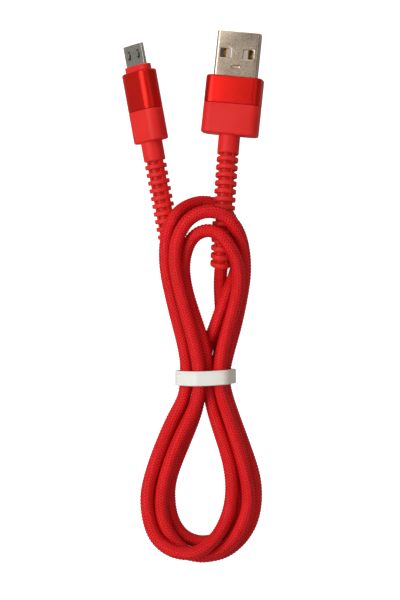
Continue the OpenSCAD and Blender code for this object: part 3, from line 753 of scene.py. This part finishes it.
def metal_material(name, colour_a, colour_b, low, high, grain=1400.0, bump=0.00003):
    n = Nodes(name)
    fine = n.noise(grain, 4.0, 0.6)
    spots = n.noise(260.0, 5.0, 0.65)
    mottle = n.math("MULTIPLY_ADD", fine, 0.55, n.math("MULTIPLY", spots, 0.45))
    n.set(Base_Color=n.mix(n.spread(mottle, 0.38, 0.62), colour_a, colour_b))
    n.set(Metallic=1.0, Roughness=n.spread(fine, 0.3, 0.7, low, high))
    n.set(Normal=n.bump(n.noise(grain * 0.4, 0.0), bump, 0.6))
    return n.mat


def plastic_material(name, colour_a, colour_b, low, high):
    n = Nodes(name)
    fine = n.noise(2200.0, 2.0)
    wide = n.noise(300.0, 3.0)
    n.set(Base_Color=n.mix(n.spread(wide, 0.35, 0.65), colour_a, colour_b))
    n.set(Roughness=n.spread(fine, 0.3, 0.7, low, high))
    n.set(Normal=n.bump(fine, 0.00001, 0.4))
    return n.mat


def tie_material():
    n = Nodes("off_white_band")
    fine = n.noise(1800.0, 3.0)
    wide = n.noise(70.0, 2.0)
    across = n.new("ShaderNodeSeparateXYZ")
    n.link(n.place(), across.inputs[0])
    pale = n.mix(n.spread(wide, 0.3, 0.7), srgb(230, 228, 220), srgb(237, 236, 230))
    # The band turns beige towards its right end, by its X position from 4 to 12 mm.
    n.set(Base_Color=n.mix(n.spread(across.outputs[0], 4 * MM, 12 * MM, 0.0, 0.8), pale, srgb(226, 216, 198)))
    n.set(Roughness=n.spread(fine, 0.3, 0.7, 0.50, 0.62), Specular_IOR_Level=0.35)
    n.set(Normal=n.bump(fine, 0.000015, 0.5))
    return n.mat


BRAID = braid_material()
SOFT_RED = soft_red_material("soft_red_moulding", (216, 31, 28), (226, 39, 34), 0.46, 0.58)
# Painted shade: the slot floors are a darker, more saturated red than the moulding, for the shade deep in the
# slots.
SLOT_FLOOR_SHADE_RED = soft_red_material("slot_floor_painted_shade", (184, 0, 2), (206, 2, 2), 0.36, 0.48)
ANODISED = anodised_material()
NICKEL = metal_material("satin_nickel", srgb(180, 160, 140), srgb(206, 188, 168), 0.25, 0.33,
                        grain=3600.0, bump=0.000004)
STEEL = metal_material("plain_steel", srgb(180, 174, 166), srgb(194, 188, 180), 0.24, 0.34,
                       grain=3600.0, bump=0.000003)
SPRING = metal_material("spring_steel", srgb(152, 148, 142), srgb(168, 164, 158), 0.32, 0.42, bump=0.000006)
GOLD = metal_material("gold_plate", srgb(96, 62, 18), srgb(168, 120, 50), 0.20, 0.32)
LIGHT = plastic_material("light_plastic", srgb(162, 148, 136), srgb(182, 168, 156), 0.4, 0.55)
DARK = plastic_material("dark_plastic", srgb(38, 38, 40), srgb(52, 52, 54), 0.4, 0.55)
MOULD = plastic_material("inner_moulding", srgb(120, 30, 26), srgb(140, 36, 30), 0.5, 0.65)
TIE = tie_material()
WIRE_COLOURS = {"power": (190, 20, 20), "data_minus": (225, 225, 222), "data_plus": (30, 130, 50),
                "ground": (26, 26, 26)}
WIRE_SHADE = 0.9               # the darker colour of each wire, as a share of the lighter


def dress(o, *mats):
    """The materials in the order of the faces' material numbers."""
    numbers = [face.material_index for face in o.data.polygons]
    o.data.materials.clear()
    for mat in mats:
        o.data.materials.append(mat)
    o.data.polygons.foreach_set("material_index", [min(k, len(mats) - 1) for k in numbers])


dress(cord, BRAID)
for o in (usb_relief, micro_relief):
    dress(o, SOFT_RED, SLOT_FLOOR_SHADE_RED)
for o in (usb_housing, micro_housing):
    dress(o, SOFT_RED)
for o in (usb_sleeve, micro_sleeve):
    dress(o, ANODISED)
dress(tie, TIE)
dress(usb_shell, NICKEL)
dress(micro_shell, STEEL)
for name, o in nodes.items():
    if "latch" in name:
        dress(o, SPRING)
    elif "contact" in name:
        dress(o, GOLD)
    elif name == "usb_a_tongue":
        dress(o, LIGHT)
    elif name == "micro_usb_tongue":
        dress(o, DARK)
    elif name.endswith("collar"):
        dress(o, SOFT_RED)
    elif name.endswith("inner_mould"):
        dress(o, MOULD)
    elif "_wire_" in name:
        kind = name.split("_wire_")[1]
        colour = WIRE_COLOURS[kind]
        darker = [c * WIRE_SHADE for c in colour]
        dress(o, plastic_material("insulation_" + kind, srgb(*colour), srgb(*darker), 0.45, 0.6))


BEVEL_ANGLE = 35               # degrees from which an edge is bevelled


def soften(o, width):
    """A small bevel on a CAD node's sharp edges, so that they catch the light."""
    bevel = o.modifiers.new("edge", "BEVEL")
    bevel.width = width * MM
    bevel.segments = 2
    bevel.limit_method = "ANGLE"
    bevel.angle_limit = math.radians(BEVEL_ANGLE)


soften(nodes["micro_usb_collar"], 0.25)
soften(nodes["micro_usb_latch_left"], 0.04)
soften(nodes["micro_usb_latch_right"], 0.04)

# ---------------------------------------------------------------- floor and light
FLOOR_SIZE = 3.0
FLOOR_Z = -0.0002              # just under the cord, so that no two faces share a plane
SHADE_REACH = 4 * MM           # how far out from the object its contact shade reaches
SHADE_DARK, SHADE_CLEAR = 0.10, 0.28                   # openness at which the glow starts, and is full
# Glow that only the camera meets, and glow that lights things.
GLOW_SEEN, GLOW_CAST = 1.0, 0.05

bpy.ops.mesh.primitive_plane_add(size=FLOOR_SIZE, location=(0, 0, FLOOR_Z))
floor = bpy.context.object
floor.name = "floor"
floor_nodes = Nodes("pale_floor")
floor_grain = floor_nodes.noise(40.0, 2.0)
floor_colour = floor_nodes.mix(floor_grain, srgb(176, 176, 176), srgb(182, 182, 182))
floor_nodes.set(Base_Color=floor_colour, Roughness=0.9)
occlusion = floor_nodes.new("ShaderNodeAmbientOcclusion", samples=8)
occlusion.inputs["Distance"].default_value = SHADE_REACH
open_floor = floor_nodes.spread(occlusion.outputs["AO"], SHADE_DARK, SHADE_CLEAR)
seen = floor_nodes.new("ShaderNodeLightPath").outputs["Is Camera Ray"]
strength = floor_nodes.math("MULTIPLY_ADD", seen, GLOW_SEEN, GLOW_CAST)
glow = floor_nodes.math("MULTIPLY", open_floor, strength)
floor_nodes.set(Emission_Color=(1, 1, 1, 1), Emission_Strength=glow)
dress(floor, floor_nodes.mat)

# Each softbox: name, place, size and watts. All of them point at the middle of the hank.
SOFTBOXES = [
    ("key", (-0.40, 0.06, 0.46), (0.60, 0.30), 2.9),
    ("far_end", (0.02, 0.50, 0.46), (0.40, 0.20), 0.60),
    ("near_end", (0.02, -0.50, 0.46), (0.40, 0.20), 0.45),
    ("fill", (0.28, 0.0, 0.52), (0.50, 0.26), 0.28),
]
WORLD_STRENGTH = 0.24


def softbox(name, location, size, watts):
    data = bpy.data.lights.new(name, "AREA")
    data.shape = "RECTANGLE"
    data.size, data.size_y = size
    data.energy = watts
    o = bpy.data.objects.new(name, data)
    bpy.context.scene.collection.objects.link(o)
    o.location = location
    o.rotation_euler = (-Vector(location)).to_track_quat("-Z", "Y").to_euler()


for box in SOFTBOXES:
    softbox(*box)

world = bpy.data.worlds.new("world")
bpy.context.scene.world = world
world.use_nodes = True
background = world.node_tree.nodes["Background"]
background.inputs["Color"].default_value = (1, 1, 1, 1)
background.inputs["Strength"].default_value = WORLD_STRENGTH
bpy.context.scene.view_settings.view_transform = "Standard"
